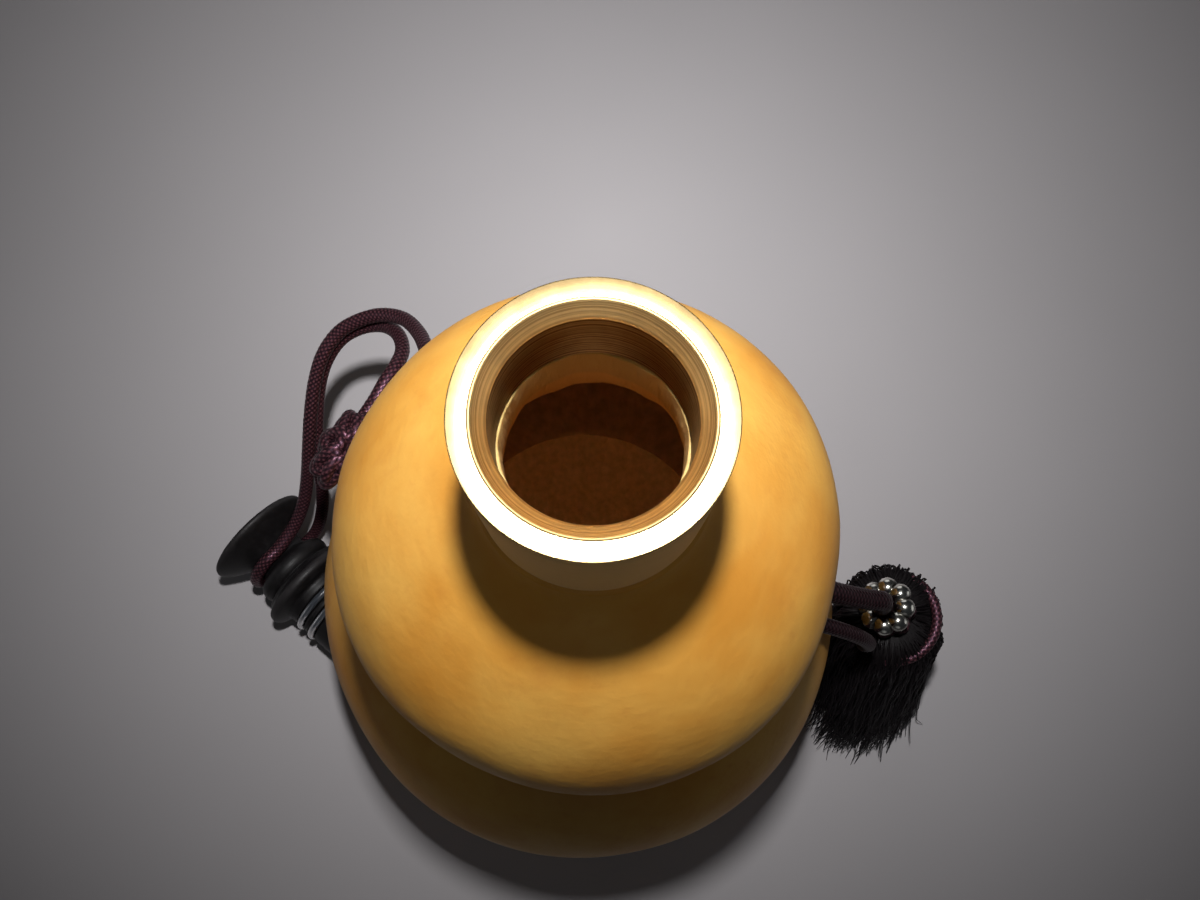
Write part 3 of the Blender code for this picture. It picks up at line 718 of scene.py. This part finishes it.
def lobes(inset, start, neck_end, neck_handle, shoulder_handle):
    """Both lobes from the base up to the neck, set in from the skin by inset."""
    low_r, low_h = LOWER_RADIUS - inset, LOWER_HALF_HEIGHT - inset
    up_r, up_h = UPPER_RADIUS - inset, UPPER_HALF_HEIGHT - inset
    lower = arc(low_r, low_h, LOWER_HEIGHT, start, WAIST_ANGLES[0])
    upper = arc(up_r, up_h, UPPER_HEIGHT, WAIST_ANGLES[1], SHOULDER_ANGLE)
    waist = handled(
        lower[-1],
        lower[-1] + WAIST_HANDLES[0] * climb(low_r, low_h, WAIST_ANGLES[0]),
        upper[0] - WAIST_HANDLES[1] * climb(up_r, up_h, WAIST_ANGLES[1]),
        upper[0],
    )
    shoulder = handled(
        upper[-1],
        upper[-1] + shoulder_handle * climb(up_r, up_h, SHOULDER_ANGLE),
        np.array(neck_handle),
        np.array(neck_end),
    )
    return np.concatenate([lower, waist[1:-1], upper, shoulder[1:]])


def rind_outline():
    """The outline up the skin, over the neck and down inside, and its shares of inside, cut and throat."""
    base_angle = -math.degrees(math.asin(LOWER_HEIGHT / LOWER_HALF_HEIGHT))
    skin = even(lobes(0, base_angle, SKIN_TOP, (15.4, 171.5), SHOULDER_HANDLES[0]), 1.35)
    in_mouth = (MOUTH_RADIUS, 184)
    steps = [SKIN_TOP, (NECK_RADIUS, 178.7), (NECK_RADIUS, NECK_TOP), (MOUTH_RADIUS, NECK_TOP), in_mouth]
    neck = rounded(steps, 0.4)
    hole = even(np.array([in_mouth, (10.6, MOUTH_FOOT + 2), (THROAT_RADIUS, MOUTH_FOOT)]), 0.55)
    inner = even(lobes(WALL, -84, (THROAT_RADIUS, MOUTH_FOOT), (13.4, 171.0), SHOULDER_HANDLES[1])[::-1], 3.2)
    base = np.array([(0.05, 0.0), *[(r, 0.0) for r in np.linspace(3, skin[0, 0] - 0.4, 4)]])
    floor = np.array([(3.0, WALL - 0.9), (0.05, WALL - 1.0)])
    outline = np.concatenate([base, skin, neck[1:-1], hole, inner[1:], floor])
    row = np.arange(len(outline))
    lip_from = len(base) + len(skin) + 6
    inside_from = len(base) + len(skin) + len(neck) - 8
    inside = ease((row - inside_from) / 4)
    cut = ease((row - lip_from) / 4) * (1 - ease((row - inside_from - 2) / 7))
    height = outline[:, 1]
    throat = inside * ease((height - MOUTH_FOOT + 3) / 2)
    return outline, inside, cut, throat


def waves(angle, terms):
    return sum(size * cos(count * angle - crest) for count, size, crest in terms)


def grown(outline, inside, columns):
    """The outline turned, then moved as the fruit grew.

    Each ring is widened by its lobe's waves, moved sideways with the bend of the axis, and dented by products
    of waves round and up. The neck's hole is cut by hand: its radius and its lower edge wander.
    """
    angle = ring_angles(columns)[None]
    radius, height = outline[:, 0, None], outline[:, 1, None]
    swell = (1 - ease((height - LOWER_HEIGHT) / 44)) * waves(angle, LOWER_SWELL)
    in_upper = ease((height - 108) / 25) * (1 - ease((height - UPPER_HEIGHT) / 35))
    swell = swell + in_upper * waves(angle, UPPER_SWELL)
    dent = sum(d * sin(n * angle + p) * sin(2 * np.pi * m * height / 100 + p) for n, m, d, p in DENTS)
    on_skin = (1 - inside[:, None]) * ease((height - 4) / 12) * (1 - ease((height - 165) / 10))
    in_hole = inside[:, None] * ease((height - 170) / 5)
    radius = radius * (1 + swell) + dent * on_skin + waves(angle, RAGGED_HOLE) * in_hole
    upper = ease((height - LOWER_HEIGHT) / (UPPER_HEIGHT - LOWER_HEIGHT))
    neck = ease((height - UPPER_HEIGHT) / (COLLAR_FOOT - 2 - UPPER_HEIGHT))
    shift = UPPER_SHIFT * upper[..., None] + (NECK_SHIFT - UPPER_SHIFT) * neck[..., None]
    lifted = height + waves(angle, RAGGED_FOOT) * in_hole * (1 - ease((height - 178.5) / 5))
    x, y = radius * cos(angle) + shift[..., 0], radius * sin(angle) + shift[..., 1]
    return np.stack([x, y, lifted + 0 * angle], -1)[None]


# ---- Operators ----


class GOURD_OT_rind(Operator):
    """Makes the hollow gourd: two lobes, a waist, a cut neck and the inner wall"""

    bl_idname = "gourd.rind"
    bl_label = "Gourd rind"

    def execute(self, context):
        outline, inside, cut, throat = rind_outline()
        parts = [(grown(outline, inside, 272), False)]
        values = {"inside": inside, "cut": cut, "throat": throat}
        make_piece("rind", "gourd_shell", "gourd_skin", parts, dried_rind(context.scene.gourd_skin), values)
        return {"FINISHED"}


class GOURD_OT_mouth(Operator):
    """Makes the turned brass mouth with its polished top, chamfer, bore and socket"""

    bl_idname = "gourd.mouth"
    bl_label = "Brass mouth"

    def execute(self, context):
        outside = [(SOCKET_RADIUS, COLLAR_FOOT), (COLLAR_RADIUS, COLLAR_FOOT), (COLLAR_RADIUS, TOP)]
        edge = [(CHAMFER_RADIUS + 0.3, TOP), (CHAMFER_RADIUS, TOP - 0.16)]
        inside = [(BORE_RADIUS, TOP - CHAMFER_DEPTH), (BORE_RADIUS, BORE_FOOT), (SOCKET_RADIUS, BORE_FOOT)]
        outline = rounded([*outside, *edge, *inside], 0.12, closed=True)
        radius, height = outline.T
        chamfer = (radius < CHAMFER_RADIUS + 0.02) & (height > BORE_FOOT - 0.2)
        bore = chamfer & (height < TOP - CHAMFER_DEPTH)
        wall = (height < TOP - 0.1) & ~chamfer
        values = {
            "browned": 0.42 * chamfer + 0.24 * bore + 0.05 * wall,
            "brushed": 0.34 * chamfer + 0.04 * bore + 0.95 * wall,
        }
        parts = [(turned(outline, 192, (*NECK_SHIFT, 0)), True)]
        material = turned_brass(context.scene.gourd_brass)
        make_piece("brass_mouth", "mouth_collar", "brass", parts, material, values)
        return {"FINISHED"}


def stopper_frame():
    """The stopper's rim centre and the direction of its tip: it lies on its rim and its flange."""
    drop = math.asin((RIM_RADIUS - FLANGE_RADIUS) / FLANGE_AT)
    turn = math.radians(STOPPER_AZIMUTH)
    tip = np.array([cos(turn) * cos(drop), sin(turn) * cos(drop), -sin(drop)])
    lift = RIM_RADIUS * cos(drop) + 0.05 + 1.2 * sin(drop)
    return np.array([*STOPPER_RIM_CENTRE, lift]), tip


class GOURD_OT_stopper(Operator):
    """Makes the turned black stopper with its flared head, groove, flange and body"""

    bl_idname = "gourd.stopper"
    bl_label = "Stopper"

    def execute(self, context):
        head = [(0.05, 1.4), (6.0, 1.3), (11.2, 0.8), (13.6, 0.05), (14.7, 0.35), (RIM_RADIUS, 1.2)]
        flare = [(14.5, 2.1), (11.8, 4.2), (9.4, 5.8), (7.8, 7.4), (7.0, 8.2), (7.0, 11.4), (8.8, 12.4)]
        step = [(10.4, 13.4), (10.8, 15.4), (10.2, 16.9), (9.4, 17.5), (11.8, 18.1), (12.2, 19.0)]
        flange = [(FLANGE_RADIUS, 20.0), (FLANGE_RADIUS, 22.0), (11.6, 23.2), (10.0, 23.5)]
        floor = SEAL_RADIUS - SEAL_THICKNESS / 2 - 0.3
        half = SEAL_THICKNESS / 2 + 0.3
        grooves = [
            corner
            for at in SEALS_AT
            for corner in ((10.0, at - half), (floor, at - half), (floor, at + half), (10.0, at + half))
        ]
        tail = [(9.9, 39.5), (8.4, STOPPER_LENGTH), (0.05, STOPPER_LENGTH)]
        outline = rounded([*head, *flare, *step, *flange, *grooves, *tail], 1.1)
        radius, along = outline.T
        rim_worn = np.exp(-(((along - 1.2) / 0.7) ** 2)) * (radius > 13)
        flange_worn = np.exp(-(((along - FLANGE_AT) / 1.2) ** 2)) * (radius > 13.4)
        parts = [(turned(outline, 144, *stopper_frame()), False)]
        material = black_lacquer(context.scene.gourd_stopper)
        values = {"worn": rim_worn + flange_worn}
        make_piece("turned_stopper", "stopper", "black_lacquer", parts, material, values)
        return {"FINISHED"}


class GOURD_OT_seals(Operator):
    """Makes the two clear rings in the stopper's grooves"""

    bl_idname = "gourd.seals"
    bl_label = "Stopper seals"

    def execute(self, context):
        rim, tip = stopper_frame()
        a = ring_angles(24)
        half = SEAL_THICKNESS / 2
        section = np.stack([SEAL_RADIUS - half * cos(a), -half * sin(a)], 1)
        material = clear_silicone(context.scene.gourd_stopper)
        for node, at in zip(("stopper_seal_upper", "stopper_seal_lower"), SEALS_AT):
            parts = [(turned(section[::-1], 128, rim + at * tip, tip), True)]
            make_piece(node + "_ring", node, "clear_silicone", parts, material)
        return {"FINISHED"}


def noose():
    """The part of the leash that lies round the stopper's groove."""
    rim, tip = stopper_frame()
    side = unit(np.cross((0, 0, 1), tip))
    up = np.cross(tip, side)
    a = np.radians(np.linspace(*NOOSE_ANGLES, 9))[:, None]
    return rim + GROOVE_AT * tip + NOOSE_RADIUS * (cos(a) * side + sin(a) * up)


class GOURD_OT_waist_cord(Operator):
    """Makes the cord wound twice round the gourd's waist"""

    bl_idname = "gourd.waist_cord"
    bl_label = "Waist cord"

    def execute(self, context):
        look = context.scene.gourd_cord
        low, high = WAIST_CORD_HEIGHTS
        turn = np.linspace(0, 706, 1500)
        angle = np.radians(turn + 96)
        x = WAIST_CORD_RADIUS * cos(angle) + WAIST_CORD_CENTRE[0]
        y = WAIST_CORD_RADIUS * sin(angle) + WAIST_CORD_CENTRE[1]
        path = even(np.stack([x, y, low + (high - low) * ease((turn - 250) / 80)], 1), 0.3)
        material = braided_polyester(look)
        up = (0, 0, 1)
        braid_piece("waist_braid", "waist_cord", path, CORD_DIAMETER, look, up, material, columns=36)
        return {"FINISHED"}


class GOURD_OT_leash(Operator):
    """Makes the button knot, the cord down to it, and the leash from the waist round the stopper and back"""

    bl_idname = "gourd.leash"
    bl_label = "Leash and button knot"

    def execute(self, context):
        look = context.scene.gourd_cord
        material = braided_polyester(look)
        out = unit(np.array([*KNOT_CENTRE[:2], 0]))
        slope = np.array([0, 0, (KNOT_CENTRE[2] - LOWER_HEIGHT) / LOWER_HALF_HEIGHT**2])
        normal = unit(out * (out @ np.array(KNOT_CENTRE)) / LOWER_RADIUS**2 + slope)
        along = unit(np.cross((0, 0, 1), normal))
        turn = np.stack([normal, along, np.cross(normal, along)], 1)
        names = ("woven_button_knot", "button_knot")
        place = (KNOT_CENTRE, KNOT_RADII, turn, 1.25)
        knot = knot_piece(*names, *place, (1.45, 2.8), 1.6, look, material, columns=24, strands=6)

        route, towards = SHOULDER_ROUTE, (0.4, -0.8, 0.4)
        cord = ("shoulder_braid", "shoulder_cord", route, CORD_DIAMETER, look, towards, material)
        lay_cord(*cord, far_end="knot", with_pieces=[knot])

        route, towards = [*LEASH_OUT, *noose(), *LEASH_BACK, LEASH_IN_KNOT], stopper_frame()[1]
        cord = ("leash_braid", "leash", route, CORD_DIAMETER, look, towards, material)
        lay_cord(*cord, far_end="object", every=12)
        return {"FINISHED"}


def hanging_threads(look):
    """(grids, shade of each point) of the tassel's threads.

    A thread keeps its place in the mop's section: its share of the reach is random^0.4, so that most lie
    near the outside, at a random angle. Its point at s is the middle line there, plus share times the reach
    that way, plus a slow wave and a tight one that grows towards the cut end. It starts over the crown,
    except at the partings, where it stays low and leaves the crown bare.
    """
    chance = np.random.default_rng(7)
    count, rows, sides = look.threads, 17, 3
    share = chance.random(count)[:, None] ** 0.4
    angle = chance.uniform(0, 2 * np.pi, count)[:, None]
    drop = chance.uniform(0.78, 1.0, count)[:, None] ** 0.6
    s = np.linspace(0, 1, rows)[None] ** 1.15 * drop
    stops = np.linspace(0, 1, len(MOP_ROUTE)) ** 1.25
    middle = np.stack([np.interp(s, stops, column) for column in np.array(MOP_ROUTE).T], -1)
    reach = np.interp(s, stops, MOP_RADII) - 0.5
    start = 1 - ease((s - 0.3) / 0.2)
    gap = sum(np.exp(-(((angle - at + np.pi) % (2 * np.pi) - np.pi) / width) ** 2) for at, width in PARTINGS)
    gap = np.clip(gap, 0, 1) * start
    spread = share * (1 - 0.42 * gap * (1 - ease((s - 0.14) / 0.1)))
    tight = 0.25 + 0.75 * s

    def drawn(low, high):
        return chance.uniform(low, high, (2, count, 1))

    wander = drawn(0.25, 0.8) * sin(drawn(7, 16) * s + drawn(0, 6.3))
    crimp = 0.35 * tight * sin(drawn(30, 55) * s + drawn(0, 6.3))
    loose_end = np.clip((np.linspace(0, 1, rows)[None] - 0.7) / 0.3, 0, 1) ** 2
    flick = chance.normal(0, 1, (3, count, 1)) * loose_end
    x = cos(angle) * spread * reach + wander[0] + crimp[0] + 1.5 * flick[0]
    y = sin(angle) * spread * reach + wander[1] + crimp[1] + 1.5 * flick[1]
    path = middle + np.stack([x, y, 0.9 * np.abs(flick[2]) - 3.8 * gap], -1)
    path[..., 2] = np.maximum(path[..., 2], 0.4 + 3 * chance.random((count, 1)) ** 2 * s)
    a = ring_angles(sides)
    along = unit(np.gradient(path, axis=1))
    side = unit(np.cross(along, (0.31, 0.93, 0.17)))
    up = np.cross(along, side)
    taper = (1 - 0.7 * np.linspace(0, 1, rows) ** 6)[None, :, None, None]
    ring = cos(a)[:, None] * side[:, :, None] + sin(a)[:, None] * up[:, :, None]
    grids = path[:, :, None] + look.width / MM / 2 * taper * ring
    shade = np.broadcast_to(chance.random((count, 1, 1)), (count, rows, sides))
    return grids, shade


class GOURD_OT_tassel(Operator):
    """Makes the ring of silver balls, the bound head, the crown, the threads and the cords they hang on"""

    bl_idname = "gourd.tassel"
    bl_label = "Tassel and its cords"

    def execute(self, context):
        look, cord_look = context.scene.gourd_tassel, context.scene.gourd_cord
        material = braided_polyester(cord_look)
        turn = frame_of(-np.array(TASSEL_LEAN))
        tilt = frame_of(-np.array(BEAD_LEAN))

        def hoop(centre, radius, lie, count):
            a = ring_angles(count)[:, None]
            return np.asarray(centre) + radius * (cos(a) * lie[:, 0] + sin(a) * lie[:, 1])

        a = ring_angles(BEAD_COUNT)[:, None]
        tangents = -sin(a) * tilt[:, 0] + cos(a) * tilt[:, 1]
        unit_ball = ball((0, 0, 0), (1, 1, 1), 22, 32)
        places = hoop(BEAD_CENTRE, BALL_RING_RADIUS, tilt, BEAD_COUNT)
        balls = places[:, None, None] + (BALL_RADIUS + 0.1) * unit_ball
        touching = np.abs(np.einsum("rcx,bx->brc", unit_ball[0], tangents))
        wire = swept(hoop(BEAD_CENTRE, BALL_RING_RADIUS, tilt, 96), 1.1, 16, tilt[:, 2], closed=True)
        tarnish = np.concatenate([ease((touching - 0.5) / 0.45).ravel(), np.ones(wire.size // 3)])
        parts, values = [(balls, False), (wire, True)], {"tarnished": tarnish}
        bead = make_piece("silver_ball_ring", "bead_ring", "silver_plate", parts, plated_silver(look), values)

        radii = (HEAD_RADIUS, HEAD_RADIUS, HEAD_HALF_HEIGHT)
        names = ("tassel_head_knot", "tassel_head")
        place = (HEAD_CENTRE, radii, turn, 1.0)
        head = knot_piece(*names, *place, (1.2, 2.1), 1.2, cord_look, material, columns=20, strands=5)

        path, up = hoop(CROWN_CENTRE, CROWN_RADIUS, turn, 300), turn[:, 2]
        ring = ("tassel_crown_braid", "tassel_crown", path, CROWN_THICKNESS, cord_look, up, material)
        crown = braid_piece(*ring, columns=30, closed=True, strands=6)

        grids, shade = hanging_threads(look)
        names = ("tassel_threads", "tassel_skirt", "black_thread")
        skirt = make_piece(*names, [(grids, False)], loose_thread(look), {"shade": shade})

        # The tassel's cords take a copy of the cord finish with the yarn dimmed to 0.35: painted shade on the
        # same cord.
        dark, towards = braided_polyester(cord_look, 0.35), (0.3, -0.9, 0.3)
        route = [*TASSEL_ROUTE, HEAD_CENTRE]
        cord = ("tassel_braid", "tassel_cord", route, TASSEL_CORD_DIAMETER, cord_look, towards, dark)
        lay_cord(*cord, far_end="knot", with_pieces=[bead, head, crown, skirt])

        route, diameter = LOWER_ROUTE, LOWER_CORD_DIAMETER
        cord = ("tassel_lower_braid", "tassel_lower_cord", route, diameter, cord_look, towards, dark)
        lay_cord(*cord, far_end="object")
        return {"FINISHED"}


def soft_light(name, width, watts, spread, place, aim):
    """A round soft light turned to an aim, whose light fades out at half the spread in degrees."""
    lamp = bpy.data.lights.new(name, "AREA")
    lamp.shape = "DISK"
    lamp.size = width
    lamp.energy = watts
    lamp.spread = math.radians(spread)
    light = bpy.data.objects.new(name, lamp)
    light.location = place
    light.rotation_euler = (Vector(aim) - light.location).to_track_quat("-Z", "Y").to_euler()
    light.visible_camera = False
    bpy.context.scene.collection.objects.link(light)


class GOURD_OT_stage(Operator):
    """Makes the plain pale floor, the soft lights, the light from all round and the camera"""

    bl_idname = "gourd.stage"
    bl_label = "Stage"

    def execute(self, context):
        scene, look = context.scene, context.scene.gourd_stage
        mesh = bpy.data.meshes.new("floor")
        half = FLOOR_HALF_WIDTH
        corners = [(-half, -half, 0), (half, -half, 0), (half, half, 0), (-half, half, 0)]
        mesh.from_pydata(corners, [], [(0, 1, 2, 3)])
        mesh.materials.append(matt_floor(look))
        floor = bpy.data.objects.new("floor", mesh)
        scene.collection.objects.link(floor)

        soft_light("key_light", look.key_width, look.key_power, KEY_SPREAD, KEY_PLACE, KEY_AIM)
        soft_light("fill_light", FILL_WIDTH, look.fill_power, FILL_SPREAD, FILL_PLACE, FILL_AIM)
        for azimuth, share in SIDE_LIGHTS:
            a = math.radians(azimuth)
            place = (SIDE_DISTANCE * cos(a), SIDE_DISTANCE * sin(a), SIDE_HEIGHT)
            watts = look.side_power * share
            soft_light(f"side_light_{azimuth}", SIDE_WIDTH, watts, SIDE_SPREAD, place, SIDE_AIM)

        scene.world = bpy.data.worlds.new("surround")
        scene.world.use_nodes = True
        background = scene.world.node_tree.nodes["Background"]
        background.inputs["Color"].default_value = look.sky
        background.inputs["Strength"].default_value = look.surround
        scene.view_settings.view_transform = "Standard"

        lens = bpy.data.cameras.new("camera")
        lens.lens = CAMERA_LENS
        lens.sensor_width = CAMERA_SENSOR
        lens.clip_start = 0.01
        camera = bpy.data.objects.new("camera", lens)
        tilt = Matrix.Rotation(math.radians(90 - CAMERA_DOWN), 4, "X")
        roll = Matrix.Rotation(math.radians(CAMERA_ROLL), 4, "Z")
        camera.matrix_world = Matrix.Translation(Vector(CAMERA_PLACE) * MM) @ tilt @ roll
        scene.collection.objects.link(camera)
        scene.camera = camera
        return {"FINISHED"}


class GOURD_PT_pieces(Panel):
    """The gourd's pieces and their settings"""

    bl_idname = "GOURD_PT_pieces"
    bl_label = "Bottle gourd"
    bl_space_type = "VIEW_3D"
    bl_region_type = "UI"
    bl_category = "Gourd"

    def draw(self, context):
        for operator in OPERATORS:
            self.layout.operator(operator.bl_idname)
        for title, group in SETTINGS.items():
            for setting in group.__annotations__:
                self.layout.prop(getattr(context.scene, title), setting)


OPERATORS = (
    GOURD_OT_rind, GOURD_OT_mouth, GOURD_OT_stopper, GOURD_OT_seals,
    GOURD_OT_waist_cord, GOURD_OT_leash, GOURD_OT_tassel, GOURD_OT_stage,
)
SETTINGS = {
    "gourd_skin": GourdSkinLook,
    "gourd_brass": BrassLook,
    "gourd_stopper": StopperLook,
    "gourd_cord": CordLook,
    "gourd_tassel": TasselLook,
    "gourd_stage": StageLook,
}
CLASSES = (*SETTINGS.values(), *OPERATORS, GOURD_PT_pieces)


def register():
    for kind in CLASSES:
        bpy.utils.register_class(kind)
    for title, group in SETTINGS.items():
        setattr(bpy.types.Scene, title, PointerProperty(type=group))


def unregister():
    for title in SETTINGS:
        delattr(bpy.types.Scene, title)
    for kind in reversed(CLASSES):
        bpy.utils.unregister_class(kind)


def main():
    register()
    for operator in OPERATORS:
        getattr(bpy.ops.gourd, operator.bl_idname.split(".")[1])()


if __name__ == "__main__":
    main()
